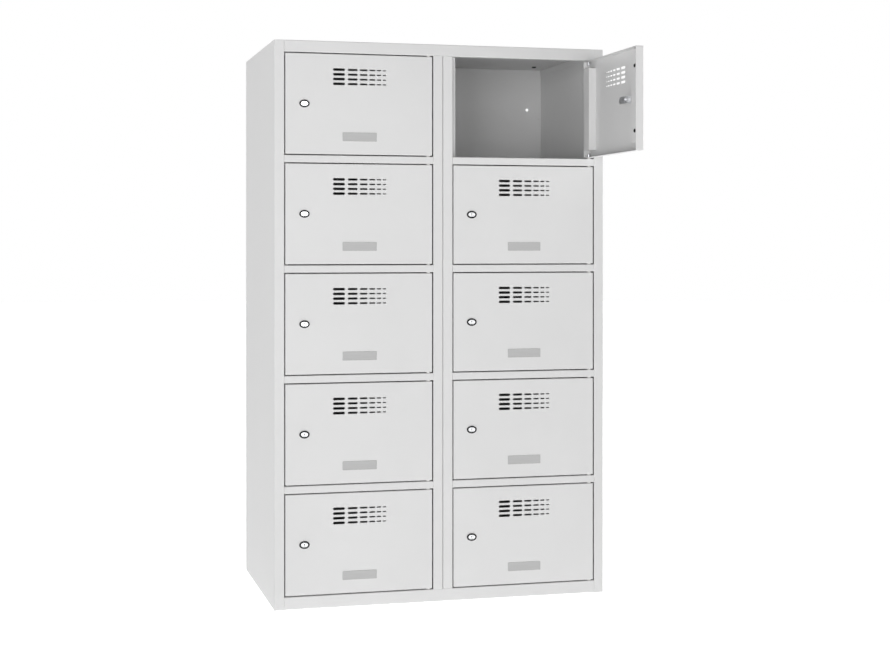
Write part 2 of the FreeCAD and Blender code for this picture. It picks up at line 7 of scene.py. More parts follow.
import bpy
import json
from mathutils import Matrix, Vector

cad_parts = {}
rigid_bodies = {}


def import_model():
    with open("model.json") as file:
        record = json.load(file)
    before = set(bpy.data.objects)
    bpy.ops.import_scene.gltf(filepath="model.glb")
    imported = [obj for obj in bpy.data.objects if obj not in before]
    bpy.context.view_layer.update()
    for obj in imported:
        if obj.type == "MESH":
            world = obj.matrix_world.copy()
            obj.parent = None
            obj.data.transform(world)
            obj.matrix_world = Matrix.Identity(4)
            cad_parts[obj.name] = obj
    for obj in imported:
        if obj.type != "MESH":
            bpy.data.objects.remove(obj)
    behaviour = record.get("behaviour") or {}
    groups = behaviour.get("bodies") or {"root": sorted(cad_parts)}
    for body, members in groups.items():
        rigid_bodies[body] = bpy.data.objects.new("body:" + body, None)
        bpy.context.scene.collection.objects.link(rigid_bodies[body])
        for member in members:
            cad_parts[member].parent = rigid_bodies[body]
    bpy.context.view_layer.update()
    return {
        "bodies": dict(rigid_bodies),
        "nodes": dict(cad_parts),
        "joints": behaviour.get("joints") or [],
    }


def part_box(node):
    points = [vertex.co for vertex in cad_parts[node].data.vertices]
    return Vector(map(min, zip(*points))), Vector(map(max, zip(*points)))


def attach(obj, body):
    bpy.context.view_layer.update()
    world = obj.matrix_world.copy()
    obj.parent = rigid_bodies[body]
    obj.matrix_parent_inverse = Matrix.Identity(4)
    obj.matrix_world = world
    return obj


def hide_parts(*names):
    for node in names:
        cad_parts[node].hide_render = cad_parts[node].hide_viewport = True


bl_info = {
    "name": "Parcel Locker",
    "version": (1, 0, 0),
    "blender": (4, 5, 0),
    "location": "View3D > Sidebar > Locker",
    "description": "Finishes the steel frame of a parcel locker and fits its small pieces",
    "category": "Object",
}

import json
import math

import bmesh
import bpy
from bpy.props import FloatProperty, FloatVectorProperty, PointerProperty
from mathutils import Matrix, Vector

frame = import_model()

JOINTS = {joint["name"]: joint for joint in frame["joints"]}
DOORS = sorted(name[len("door_"):] for name in frame["bodies"] if name.startswith("door_"))
COATED = [
    name
    for name in frame["nodes"]
    if name.startswith(("side_panel", "centre_panel", "base_", "shelf_", "door_"))
    or name in ("top_panel", "rear_panel")
]
PATTERN = "left_1"  # a door that is closed at rest, which the sizes of every door come from
SHARP_ANGLE = math.radians(38)  # folds steeper than this stay sharp
ROUND_SIDES = 72
SCREW_SIDES = 48
SMALL_SIDES = 40
KEYHOLE_SIDES = 32
EDGE_ROUND = 0.0004  # rounding along the edges of the lock's face and cam
TURNING_GAP = 0.00005  # clearance round the barrel and the plug
X_AXIS, Y_AXIS, Z_AXIS = 0, 1, 2
SIDE_WELD_ROWS = (0.060, 0.430)  # behind the front edge of a side panel
SIDE_WELD_DROP = 0.008  # below the top of a shelf
REAR_WELD_INSET = 0.008  # from the side of the locker
REAR_WELD_FOOT = 0.06
REAR_WELD_PITCH = 0.16
SENSOR_WIDTH = 36


# ---------------------------------------------------------------------------------------------
# Places on the frame
# ---------------------------------------------------------------------------------------------

def hinge_foot(door):
    """Where a door's hinge axis meets the level of its bottom edge."""
    axis = JOINTS[f"door_{door}_hinge"]["pos_m"]
    return Vector((axis[0], axis[1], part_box(f"door_{door}")[0].z))


def door_axes(door):
    """The matrix from a door's own axes to the locker's.

    A door's own origin is on its hinge axis at its bottom edge, and its face looks along -Y.
    """
    opened = -JOINTS[f"door_{door}_hinge"]["range_deg"][0]
    return Matrix.Translation(hinge_foot(door)) @ Matrix.Rotation(math.radians(opened), 4, "Z")


DOOR_LOW, DOOR_HIGH = (corner - hinge_foot(PATTERN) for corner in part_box(f"door_{PATTERN}"))
LOCK_PLACE = Vector(JOINTS[f"lock_{PATTERN}_turn"]["pos_m"]) - hinge_foot(PATTERN)
LABEL_LOW, LABEL_HIGH = (
    corner - hinge_foot(PATTERN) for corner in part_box(f"label_plate_{PATTERN}")
)
LOCK_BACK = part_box(f"lock_body_{PATTERN}")[1].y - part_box(f"door_{PATTERN}")[0].y
CAM_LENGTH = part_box(f"lock_cam_{PATTERN}")[1].x - JOINTS[f"lock_{PATTERN}_turn"]["pos_m"][0]
DOOR_SHEET = 0.001
CAM_CLEARANCE = 0.0005
CAM_THICKNESS = 0.002
CAM_FRONT = LOCK_BACK + CAM_CLEARANCE
CAM_BACK = CAM_FRONT + CAM_THICKNESS
SHELF_TOPS = [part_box(f"shelf_left_{number}")[1].z for number in range(1, 5)]


def lock_axes(door):
    """The matrix of a lock: its origin is on the door's face and +Y runs in through the door."""
    return door_axes(door) @ Matrix.Translation(LOCK_PLACE)


# ---------------------------------------------------------------------------------------------
# What a user may change
# ---------------------------------------------------------------------------------------------

def length(label, meaning, default, low=0.0, high=1.0):
    """A size in metres."""
    return FloatProperty(name=label, description=meaning, default=default, min=low, max=high,
                         unit="LENGTH", precision=5)


def share(label, meaning, default):
    """A number from 0 to 1."""
    return FloatProperty(name=label, description=meaning, default=default, min=0, max=1,
                         subtype="FACTOR")


def colour(label, meaning, default):
    """A colour."""
    return FloatVectorProperty(name=label, description=meaning, default=default, min=0, max=1,
                               size=3, subtype="COLOR")


def amount(label, meaning, default):
    """A number from 0 up."""
    return FloatProperty(name=label, description=meaning, default=default, min=0)


def power(label, meaning, default):
    """The power of a light in watts."""
    return FloatProperty(name=label, description=meaning, default=default, min=0, unit="POWER")


class LockerFinishes(bpy.types.PropertyGroup):
    """Colours and surface of each finish."""

    coat: colour("Coat", "Powder coat of the sheet steel", (0.68, 0.68, 0.68))
    coat_roughness: share("Coat roughness", "Roughness of the powder coat", 0.46)
    peel_size: length("Peel size", "Width of one bump of the powder coat", 0.0016, 0.0002, 0.01)
    peel_height: length("Peel height", "Height of the bumps of the powder coat", 0.00003)
    wear: share("Edge wear", "How much the folds and edges are rubbed", 0.3)
    label: colour("Label", "Label plates", (0.455, 0.455, 0.455))
    chrome: colour("Chrome", "Face and plug of a lock", (0.86, 0.87, 0.88))
    zinc: colour("Zinc", "Zinc plated pieces", (0.62, 0.63, 0.65))
    black: colour("Black plastic", "Lock rings and hole plugs", (0.018, 0.018, 0.019))
    rubber: colour("Rubber", "Door bumpers", (0.012, 0.012, 0.012))
    nylon: colour("Nylon", "Hinge washers", (0.82, 0.81, 0.78))


class LockerLocks(bpy.types.PropertyGroup):
    """Sizes of a lock."""

    ring_width: length("Ring width", "Black oval ring", 0.024)
    ring_height: length("Ring height", "Black oval ring", 0.018)
    ring_front: length("Ring front", "How far the ring stands in front of the door", 0.0022)
    face_width: length("Face width", "Bright oval face inside the ring", 0.017)
    face_height: length("Face height", "Bright oval face inside the ring", 0.0115)
    face_front: length("Face front", "How far the face stands in front of the door", 0.0018)
    plug_radius: length("Plug radius", "Plug that the key turns", 0.005)
    plug_front: length("Plug front", "How far the plug stands in front of the door", 0.0015)
    key_radius: length("Keyhole radius", "Round top of the keyhole", 0.0013)
    key_slit: length("Keyhole slit", "Width of the slit under the keyhole", 0.001)
    key_length: length("Keyhole length", "Length of the slit below the axis", 0.0036)
    key_depth: length("Keyhole depth", "Depth of the keyhole", 0.011)
    barrel_radius: length("Barrel radius", "Threaded barrel", 0.00825)
    thread_pitch: length("Thread pitch", "Thread of the barrel", 0.001, 0.0004)
    thread_depth: length("Thread depth", "Thread of the barrel", 0.00035)
    nut_radius: length("Nut radius", "Fixing nut, over its corners", 0.012)
    nut_thickness: length("Nut thickness", "Fixing nut", 0.003)
    cam_width: length("Cam width", "Cam", 0.016)
    screw_radius: length("Screw radius", "Head of the cam screw", 0.0035)
    screw_height: length("Screw height", "Head of the cam screw", 0.0025)


class LockerTrim(bpy.types.PropertyGroup):
    """Sizes of the label plates, bumpers and hole plugs."""

    label_rim: length("Label rim", "Raised rim of a label plate", 0.0013)
    label_corner: length("Label corner", "Corner radius of a label plate", 0.0012)
    label_recess: length("Label recess", "Depth of the field inside the rim", 0.0003)
    bumper_radius: length("Bumper radius", "Rubber bumper", 0.0043)
    bumper_height: length("Bumper height", "Rubber bumper", 0.0026)
    bumper_inset: length("Bumper inset", "Free edge of the door to a bumper", 0.006)
    bumper_end: length("Bumper end", "Top or bottom edge of the door to a bumper", 0.044)
    weld_radius: length("Weld mark", "Mark of a spot weld", 0.0032)
    weld_depth: length("Weld depth", "How deep a spot weld is pressed in", 0.00012)


class LockerStage(bpy.types.PropertyGroup):
    """Floor, light and camera."""

    floor: colour("Floor", "Floor", (0.9, 0.9, 0.9))
    glow: amount("Floor glow", "Light that the floor gives from below", 0.93)
    surround: amount("Surround", "Strength of the even light on matt surfaces", 0.05)
    backdrop: amount("Backdrop", "How bright the surroundings and their mirror image look", 1.0)
    key_power: power("Key light", "Large light in front, at the left", 96)
    front_power: power("Front light", "Light straight in front", 26)
    rear_power: power("Rear light", "Light behind, at the left", 18)
    fill_power: power("Fill light", "Light behind, at the right", 95)
    lens: FloatProperty(name="Lens", description="Focal length of the camera", default=66.2,
                        min=1, unit="CAMERA")
    shift_x: FloatProperty(name="Shift X", description="Sideways shift of the view",
                           default=-0.01035)
    shift_y: FloatProperty(name="Shift Y", description="Upward shift of the view",
                           default=-0.092)
    eye: FloatVectorProperty(name="Camera place", description="Where the camera stands",
                             default=(-0.9608, -3.9859, 0.8447), size=3, subtype="XYZ",
                             unit="LENGTH")
    turn: FloatProperty(name="Camera turn", description="Turn of the level camera about Z",
                        default=math.radians(-14.797), subtype="ANGLE")


GROUPS = {
    "locker_finishes": LockerFinishes,
    "locker_locks": LockerLocks,
    "locker_trim": LockerTrim,
    "locker_stage": LockerStage,
}


# ---------------------------------------------------------------------------------------------
# Shapes
# ---------------------------------------------------------------------------------------------

def oval(width, height, depth, sides=ROUND_SIDES):
    """Points of an oval about the Y axis."""
    return [
        Vector((width / 2 * math.cos(turn), depth, height / 2 * math.sin(turn)))
        for turn in (2 * math.pi * step / sides for step in range(sides))
    ]


def circle(radius, depth, sides=ROUND_SIDES):
    """Points of a circle about the Y axis."""
    return oval(2 * radius, 2 * radius, depth, sides)


def hexagon(corner, limit, depth):
    """Points of a hexagon about the Y axis, kept within a circle."""
    points = []
    for step in range(ROUND_SIDES):
        turn = 2 * math.pi * step / ROUND_SIDES
        flat = corner * math.cos(math.pi / 6) / math.cos(turn % (math.pi / 3) - math.pi / 6)
        radius = min(flat, limit)
        points.append(Vector((radius * math.cos(turn), depth, radius * math.sin(turn))))
    return points


def rounded_end_bar(half, reach, depth, steps=18):
    """Points of a bar with round ends: one about the axis, one at a distance along +X."""
    points = []
    for centre, start in ((reach, -math.pi / 2), (0.0, math.pi / 2)):
        for step in range(steps + 1):
            turn = start + math.pi * step / steps
            points.append(Vector((centre + half * math.cos(turn), depth, half * math.sin(turn))))
    return points


def rounded_rectangle(half_width, half_height, corner, depth, steps=5):
    """Points of a rectangle with rounded corners about the Y axis."""
    points = []
    for quarter, (side, end) in enumerate(((1, 1), (-1, 1), (-1, -1), (1, -1))):
        centre = Vector((side * (half_width - corner), depth, end * (half_height - corner)))
        for step in range(steps + 1):
            turn = math.pi / 2 * (quarter + step / steps)
            points.append(centre + corner * Vector((math.cos(turn), 0, math.sin(turn))))
    return points


def skin(work, rings, closed=False, finish=0):
    """Join rings of points. Closed joins the last to the first, otherwise both ends are filled."""
    loops = [[work.verts.new(point) for point in ring] for ring in rings]
    pairs = list(zip(loops, loops[1:]))
    if closed:
        pairs.append((loops[-1], loops[0]))
    faces = []
    for low, high in pairs:
        for step in range(len(low)):
            after = (step + 1) % len(low)
            faces.append(work.faces.new((low[step], low[after], high[after], high[step])))
    if not closed:
        faces += [work.faces.new(loops[0]), work.faces.new(loops[-1])]
    for face in faces:
        face.material_index = finish
    return faces


def block(work, low, high):
    """A box between two corners."""
    skin(work, [[Vector((x, y, z)) for x, z in
                 ((low[0], low[2]), (high[0], low[2]), (high[0], high[2]), (low[0], high[2]))]
                for y in (low[1], high[1])])


def finish_mesh(name, work, finishes):
    """Turn a worked shape into a smooth mesh with sharp folds and its finishes."""
    bmesh.ops.recalc_face_normals(work, faces=work.faces)
    for face in work.faces:
        face.smooth = True
    mesh = bpy.data.meshes.new(name)
    work.to_mesh(mesh)
    work.free()
    mesh.set_sharp_from_angle(angle=SHARP_ANGLE)
    for finish in finishes:
        mesh.materials.append(finish)
    return mesh


def carve(mesh, tools):
    """Cut closed tools out of a mesh."""
    body = bpy.data.objects.new(f"{mesh.name}_uncut", mesh)
    bpy.context.scene.collection.objects.link(body)
    cutters = []
    for work in tools:
        cutter = bpy.data.objects.new(f"{mesh.name}_tool", finish_mesh("tool", work, []))
        bpy.context.scene.collection.objects.link(cutter)
        cut = body.modifiers.new("cut", "BOOLEAN")
        cut.operation = "DIFFERENCE"
        cut.solver = "EXACT"
        cut.object = cutter
        cutters.append(cutter)
    bpy.context.view_layer.update()
    seen = body.evaluated_get(bpy.context.evaluated_depsgraph_get())
    carved = bpy.data.meshes.new_from_object(seen)
    carved.set_sharp_from_angle(angle=SHARP_ANGLE)
    for thing in [body, *cutters]:
        bpy.data.objects.remove(thing)
    return carved


def fit(name, mesh, where, body, stands_for=()):
    """Put a mesh in its place on a body."""
    piece = bpy.data.objects.new(name, mesh)
    bpy.context.scene.collection.objects.link(piece)
    piece.matrix_world = where
    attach(piece, body)
    if stands_for:
        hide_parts(*stands_for)


# ---------------------------------------------------------------------------------------------
# Finishes
# ---------------------------------------------------------------------------------------------

class Finish:
    """A material under construction. Its patterns lie on the object's own coordinates."""

    def __init__(self, name, metallic=0.0):
        self.material = bpy.data.materials.new(name)
        self.material.use_nodes = True
        self.tree = self.material.node_tree
        self.shader = self.tree.nodes["Principled BSDF"]
        self.place = self.node("ShaderNodeTexCoord").outputs["Object"]
        self.paint("Metallic", metallic)

    def set(self, node, socket, value):
        """Give an input a value, or join another node's output to it."""
        if isinstance(value, bpy.types.NodeSocket):
            self.tree.links.new(value, node.inputs[socket])
        else:
            node.inputs[socket].default_value = value

    def node(self, kind, inputs=(), **settings):
        """Add a node with its settings and inputs."""
        made = self.tree.nodes.new(kind)
        for name, value in settings.items():
            setattr(made, name, value)
        for socket, value in dict(inputs).items():
            self.set(made, socket, value)
        return made

    def noise(self, size, detail=2.0, roughness=0.5, stretch=None):
        """Noise from 0 to 1 whose lumps have a size in metres."""
        place = self.place
        if stretch:
            place = self.node("ShaderNodeMapping", {"Vector": place, "Scale": stretch}).outputs[0]
        return self.node("ShaderNodeTexNoise", {
            "Vector": place, "Scale": 1 / size, "Detail": detail, "Roughness": roughness,
        }).outputs[0]

    def span(self, value, low, high, to_low=0.0, to_high=1.0, smooth=False):
        """Map a value from one range to another."""
        return self.node("ShaderNodeMapRange", {
            "Value": value, "From Min": low, "From Max": high, "To Min": to_low, "To Max": to_high,
        }, interpolation_type="SMOOTHSTEP" if smooth else "LINEAR").outputs[0]

    def math(self, operation, first, second=0.0):
        """One step of arithmetic."""
        return self.node("ShaderNodeMath", {0: first, 1: second}, operation=operation).outputs[0]

    def blend(self, factor, first, second):
        """Mix two colours."""
        return self.node("ShaderNodeMix", {0: factor, 6: first, 7: second},
                         data_type="RGBA").outputs[2]

    def bump(self, height, distance, strength=1.0, normal=None):
        """A normal from a height."""
        inputs = {"Height": height, "Distance": distance, "Strength": strength}
        if normal:
            inputs["Normal"] = normal
        return self.node("ShaderNodeBump", inputs).outputs[0]

    def edges(self, radius):
        """The normal of rounded edges, and how near a point is to an edge from 0 to 1."""
        soft = self.node("ShaderNodeBevel", {"Radius": radius}, samples=4).outputs[0]
        flat = self.node("ShaderNodeNewGeometry").outputs["Normal"]
        facing = self.node("ShaderNodeVectorMath", {0: soft, 1: flat},
                           operation="DOT_PRODUCT").outputs["Value"]
        return soft, self.span(self.math("SUBTRACT", 1.0, facing), 0.01, 0.22)

    def paint(self, socket, value):
        """Set one input of the shader."""
        self.set(self.shader, socket, value)


def tone(rgb, factor=1.0):
    """A colour made lighter or darker, with alpha."""
    return (*(min(1.0, part * factor) for part in rgb), 1.0)


def powder_coat(name, marks=None):
    """Satin powder coat: orange peel, a faint cloudiness and rubbed edges."""
    values = bpy.context.scene.locker_finishes
    coat = Finish(name)
    coat.paint("IOR", 1.5)
    peel = coat.noise(values.peel_size, detail=1.5)
    cloud = coat.noise(0.16, detail=3.0)
    speck = coat.noise(0.0007, detail=0.0)
    soft, edge = coat.edges(0.0006)
    scuffs = coat.span(coat.noise(0.011, detail=4.0, roughness=0.65), 0.45, 0.72)
    rubbed = coat.math("MULTIPLY", coat.math("MULTIPLY", edge, scuffs), values.wear)
    base = coat.blend(coat.span(cloud, 0.3, 0.7), tone(values.coat, 0.985),
                      tone(values.coat, 1.015))
    base = coat.blend(coat.span(speck, 0.72, 0.85, 0.0, 0.25), base, tone(values.coat, 0.93))
    height = coat.math("ADD", peel, coat.math("MULTIPLY", speck, 0.2))
    if marks:
        spot = marks(coat)
        base = coat.blend(coat.math("MULTIPLY", spot, 0.35), base, tone(values.coat, 0.86))
        pressed = bpy.context.scene.locker_trim.weld_depth / values.peel_height
        height = coat.math("SUBTRACT", height, coat.math("MULTIPLY", spot, pressed))
    base = coat.blend(rubbed, base, tone(values.coat, 0.72))
    coat.paint("Base Color", base)
    satin = coat.span(cloud, 0.25, 0.75, values.coat_roughness - 0.03, values.coat_roughness + 0.05)
    satin = coat.math("ADD", satin, coat.span(speck, 0.2, 0.8, -0.03, 0.03))
    coat.paint("Roughness", coat.math("SUBTRACT", satin, coat.math("MULTIPLY", rubbed, 0.4)))
    coat.paint("Normal", coat.bump(height, values.peel_height, 0.5, soft))
    return coat.material


def weld_marks(inset_axis, insets, rows_axis, rows, pitch):
    """Marks of spot welds in straight rows, as a function that draws them on a coat."""

    def draw(coat):
        parts = coat.node("ShaderNodeSeparateXYZ", {"Vector": coat.place}).outputs
        near = None
        for inset in insets:
            away = coat.math("ABSOLUTE", coat.math("SUBTRACT", parts[inset_axis], inset))
            near = away if near is None else coat.math("MINIMUM", near, away)
        along = coat.math("PINGPONG", coat.math("SUBTRACT", parts[rows_axis], rows), pitch / 2)
        squares = coat.math("ADD", coat.math("MULTIPLY", near, near),
                            coat.math("MULTIPLY", along, along))
        radius = bpy.context.scene.locker_trim.weld_radius
        return coat.span(coat.math("SQRT", squares), radius, radius * 0.7, smooth=True)

    return draw


def bright_metal(name, base, roughness, grain):
    """Plated metal with fine polishing lines, small blooms and a painted highlight along its edges.
    """
    metal = Finish(name, metallic=1.0)
    bloom = metal.noise(0.004, detail=3.0)
    lines = metal.noise(grain, detail=2.0, stretch=(1.0, 1.0, 0.06))
    soft, edge = metal.edges(0.0002)
    colours = metal.blend(metal.span(bloom, 0.3, 0.7), tone(base, 0.94), tone(base, 1.05))
    # Painted highlight: the colour is made lighter near every edge.
    colours = metal.blend(metal.math("MULTIPLY", edge, 0.35), colours, tone(base, 1.15))
    metal.paint("Base Color", colours)
    rough = metal.span(bloom, 0.25, 0.75, roughness * 0.8, roughness * 1.3)
    metal.paint("Roughness", metal.math("ADD", rough, metal.span(lines, 0.3, 0.7, 0.0, 0.06)))
    metal.paint("Normal", metal.bump(lines, 0.00001, 0.4, soft))
    return metal.material


def moulded(name, base, roughness, grain, specular=0.5):
    """Moulded plastic or rubber with a fine grain and lighter, rubbed edges."""
    plastic = Finish(name)
    plastic.paint("Specular IOR Level", specular)
    pores = plastic.noise(grain, detail=2.0)
    cloud = plastic.noise(0.008, detail=2.0)
    soft, edge = plastic.edges(0.0002)
    colours = plastic.blend(plastic.span(cloud, 0.3, 0.7), tone(base, 0.92), tone(base, 1.08))
    rubbed = plastic.math("MULTIPLY", edge, plastic.span(plastic.noise(0.003), 0.4, 0.7, 0.0, 0.3))
    plastic.paint("Base Color", plastic.blend(rubbed, colours, tone(base, 1.6)))
    plastic.paint("Roughness", plastic.span(pores, 0.2, 0.8, roughness - 0.06, roughness + 0.06))
    plastic.paint("Normal", plastic.bump(pores, 0.00002, 0.6, soft))
    return plastic.material


def brushed_field(name, base):
    """The field of a label plate, with faint lines along it."""
    field = Finish(name)
    lines = field.noise(0.0012, detail=2.0, stretch=(0.02, 1.0, 1.0))
    dust = field.noise(0.0005, detail=1.0)
    field.paint("Base Color", field.blend(field.span(lines, 0.3, 0.7), tone(base, 0.95),
                                          tone(base, 1.04)))
    field.paint("Roughness", field.span(dust, 0.2, 0.8, 0.5, 0.62))
    field.paint("Normal", field.bump(lines, 0.00002, 0.4))
    return field.material


def studio_floor(name, values):
    """A pale, lit floor with the faintest cloudiness."""
    base = values.floor
    floor = Finish(name)
    floor.paint("Emission Color", tone((1, 1, 1)))
    floor.paint("Emission Strength", values.glow)
    cloud = floor.noise(0.7, detail=4.0)
    floor.paint("Base Color", floor.blend(cloud, tone(base, 0.99), tone(base, 1.01)))
    floor.paint("Roughness", floor.span(cloud, 0.2, 0.8, 0.75, 0.85))
    floor.paint("Normal", floor.bump(floor.noise(0.01, detail=3.0), 0.0002, 0.2))
    floor.paint("Specular IOR Level", 0.2)
    return floor.material


def use_finish(material, name):
    """Give a node of the frame a finish."""
    mesh = frame["nodes"][name].data
    mesh.materials.clear()
    mesh.materials.append(material)


# ---------------------------------------------------------------------------------------------
# Pieces
# ---------------------------------------------------------------------------------------------

class LockerCoat(bpy.types.Operator):
    """Coat the sheet steel, with spot weld marks where shelves and flanges are fixed"""

    bl_idname = "locker.coat"
    bl_label = "Coat the sheet steel"

    def execute(self, context):
        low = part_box("side_panel_left")[0]
        side_marks = weld_marks(Y_AXIS, [low.y + row for row in SIDE_WELD_ROWS], Z_AXIS,
                                SHELF_TOPS[0] - SIDE_WELD_DROP, SHELF_TOPS[0] - SHELF_TOPS[1])
        rear_marks = weld_marks(X_AXIS, (low.x + REAR_WELD_INSET, -low.x - REAR_WELD_INSET),
                                Z_AXIS, REAR_WELD_FOOT, REAR_WELD_PITCH)
        plain = powder_coat("powder_coat")
        side = powder_coat("powder_coat_on_welded_sides", side_marks)
        rear = powder_coat("powder_coat_on_welded_rear", rear_marks)
        welded = {"side_panel_left": side, "side_panel_right": side, "rear_panel": rear}
        for name in COATED:
            use_finish(welded.get(name, plain), name)
        return {"FINISHED"}


class LockerHinges(bpy.types.Operator):
    """Plate the hinge pins and finish the washers they stand in"""

    bl_idname = "locker.hinges"
    bl_label = "Finish the hinges"

    def execute(self, context):
        values = context.scene.locker_finishes
        use_finish(bright_metal("zinc_on_pins", values.zinc, 0.32, 0.0006), "hinge_pins")
        use_finish(moulded("natural_nylon", values.nylon, 0.45, 0.0004), "hinge_washers")
        return {"FINISHED"}


class LockerHolePlugs(bpy.types.Operator):
    """Push domed plugs into the holes in the top"""

    bl_idname = "locker.hole_plugs"
    bl_label = "Plug the holes in the top"

    def execute(self, context):
        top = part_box("top_panel")[1].z
        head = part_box("hole_plugs")[1].z - top
        profile = (  # radius, and height above the top
            (0.0048, -0.0005), (0.0048, -0.0040), (0.0055, -0.0040), (0.0061, -0.0020),
            (0.0062, -0.0016), (0.0059, -0.0011), (0.0059, 0.0), (0.0074, 0.0),
            (0.0075, 0.25 * head), (0.0073, 0.5 * head), (0.0066, 0.76 * head),
            (0.0053, 0.92 * head), (0.0036, head), (0.0010, head),
        )
        finish = moulded("black_hole_plug", context.scene.locker_finishes.black, 0.42, 0.0004)
        work = bmesh.new()
        for x, y in self.places():
            upright = Matrix.Translation((x, y, top)) @ Matrix.Rotation(math.radians(-90), 4, "X")
            rings = [
                [upright @ Vector((p.x, -p.y, p.z)) for p in circle(radius, rise, SMALL_SIDES)]
                for radius, rise in profile
            ]
            skin(work, rings)
        mesh = finish_mesh("hole_plug_covers", work, [finish])
        fit("hole_plug_covers", mesh, Matrix(), "carcass", ["hole_plugs"])
        return {"FINISHED"}

    def places(self):
        """Middle of each plug, from the solids of the node."""
        corners = [vertex.co for vertex in frame["nodes"]["hole_plugs"].data.vertices]
        groups = {}
        for corner in corners:
            key = (corner.x > 0, corner.x > self.middle(corners, corner.x > 0), corner.y > 0)
            groups.setdefault(key, []).append(corner)
        return [
            tuple((min(c[axis] for c in found) + max(c[axis] for c in found)) / 2
                  for axis in (X_AXIS, Y_AXIS))
            for found in groups.values()
        ]

    def middle(self, corners, right):
        """Middle of the plugs of one column, across the locker."""
        across = [corner.x for corner in corners if (corner.x > 0) == right]
        return (min(across) + max(across)) / 2


class LockerLabels(bpy.types.Operator):
    """Fix a label plate with a raised rim to each door"""

    bl_idname = "locker.labels"
    bl_label = "Fix the label plates"

    def execute(self, context):
        values, trim = context.scene.locker_finishes, context.scene.locker_trim
        half_width = (LABEL_HIGH.x - LABEL_LOW.x) / 2
        half_height = (LABEL_HIGH.z - LABEL_LOW.z) / 2
        thick = LABEL_HIGH.y - LABEL_LOW.y
        recess_wall, least_corner = 0.0002, 0.0003
        work = bmesh.new()
        steps = ((0.0, 0.0), (0.0, -0.7 * thick), (0.25 * thick, -thick), (trim.label_rim, -thick),
                 (trim.label_rim + recess_wall, -thick + trim.label_recess))
        rings = [
            rounded_rectangle(half_width - inset, half_height - inset,
                              max(trim.label_corner - inset, least_corner), depth)
            for inset, depth in steps
        ]
        field = skin(work, rings)[-1]
        field.material_index = 1
        mesh = finish_mesh("label_holder", work, [
            moulded("label_rim_plastic", values.label, 0.5, 0.0004, 0.35),
            brushed_field("label_field", values.label),
        ])
        middle = (LABEL_LOW + LABEL_HIGH) / 2
        middle.y = LABEL_HIGH.y
        for door in DOORS:
            where = door_axes(door) @ Matrix.Translation(middle)
            fit(f"label_holder_{door}", mesh, where, f"door_{door}",
                [f"label_plate_{door}"])
        return {"FINISHED"}


class LockerLockBodies(bpy.types.Operator):
    """Fit each lock's black ring, bright face, threaded barrel and nut"""

    bl_idname = "locker.lock_bodies"
    bl_label = "Fit the lock bodies"

    def execute(self, context):
        values, sizes = context.scene.locker_finishes, context.scene.locker_locks
        black = moulded("black_lock_ring", values.black, 0.6, 0.0004, 0.2)
        chrome = bright_metal("chrome_on_lock_face", values.chrome, 0.16, 0.0003)
        zinc = bright_metal("zinc_on_lock_barrel", values.zinc, 0.3, 0.0005)
        ring = finish_mesh("lock_ring", self.ring(sizes), [black])
        barrel = finish_mesh("lock_barrel", self.barrel(sizes), [chrome, zinc])
        for door in DOORS:
            stands_for = [f"lock_body_{door}"]
            for kind, mesh, slot in (("ring", ring, "black_plastic"),
                                     ("barrel", barrel, "lock_metal")):
                fit(f"lock_{kind}_{door}", mesh, lock_axes(door), f"door_{door}", stands_for)
        return {"FINISHED"}

    def ring(self, sizes):
        """A rounded oval ring on the door's face."""
        inner = Vector((sizes.face_width, sizes.face_height))
        outer = Vector((sizes.ring_width, sizes.ring_height))
        work = bmesh.new()
        # share of the way inwards, and share of the height in front of the door
        steps = ((0.0, 0.0), (0.0, 0.45), (0.06, 0.72), (0.18, 0.9), (0.36, 1.0), (0.62, 1.0),
                 (0.84, 0.93), (1.0, 0.8), (1.0, 0.0))
        rings = []
        for inwards, forwards in steps:
            size = outer.lerp(inner, inwards)
            rings.append(oval(size.x, size.y, -forwards * sizes.ring_front))
        skin(work, rings, closed=True)
        return work

    def barrel(self, sizes):
        """The bright face, the threaded barrel behind it and the nut that holds both."""
        work = bmesh.new()
        bore = sizes.plug_radius + TURNING_GAP
        front, width, height = sizes.face_front, sizes.face_width, sizes.face_height
        face_back, bore_chamfer, nut_chamfer = 0.0002, 0.0002, 0.0006
        rings = [
            circle(bore, -face_back),
            circle(bore, -front + bore_chamfer),
            circle(bore + bore_chamfer, -front),
            oval(width - 2 * EDGE_ROUND, height - 2 * EDGE_ROUND, -front),
            oval(width, height, -front + EDGE_ROUND),
            oval(width, height, -face_back),
        ]
        skin(work, rings, closed=True, finish=0)
        self.thread(work, sizes, bore)
        thick = sizes.nut_thickness
        seat = DOOR_SHEET
        hole = sizes.barrel_radius + TURNING_GAP
        corner = sizes.nut_radius
        rings = [
            circle(hole, seat),
            hexagon(corner, 0.94 * corner, seat),
            hexagon(corner, corner, seat + 0.12 * thick),
            hexagon(corner, corner, seat + 0.78 * thick),
            hexagon(corner, 0.9 * corner, seat + thick),
            circle(hole + nut_chamfer, seat + thick),
            circle(hole, seat + 0.8 * thick),
        ]
        skin(work, rings, closed=True, finish=1)
        return work

    def thread(self, work, sizes, bore):
        """The threaded tube from the door's face to the cam."""
        radius, pitch, end_chamfer = sizes.barrel_radius, sizes.thread_pitch, 0.0005
        rings = [circle(bore, 0.0), circle(radius, 0.0)]
        depth = pitch
        root = radius - sizes.thread_depth
        while depth < LOCK_BACK - 1.6 * pitch:
            rings.append(circle(radius, depth))
            rings.append(circle(root, depth + 0.4 * pitch))
            rings.append(circle(root, depth + 0.6 * pitch))
            depth += pitch
        rings.append(circle(radius, depth))
        rings.append(circle(radius, LOCK_BACK - end_chamfer))
        rings.append(circle(radius - end_chamfer, LOCK_BACK))
        rings.append(circle(bore, LOCK_BACK))
        skin(work, rings, closed=True, finish=1)


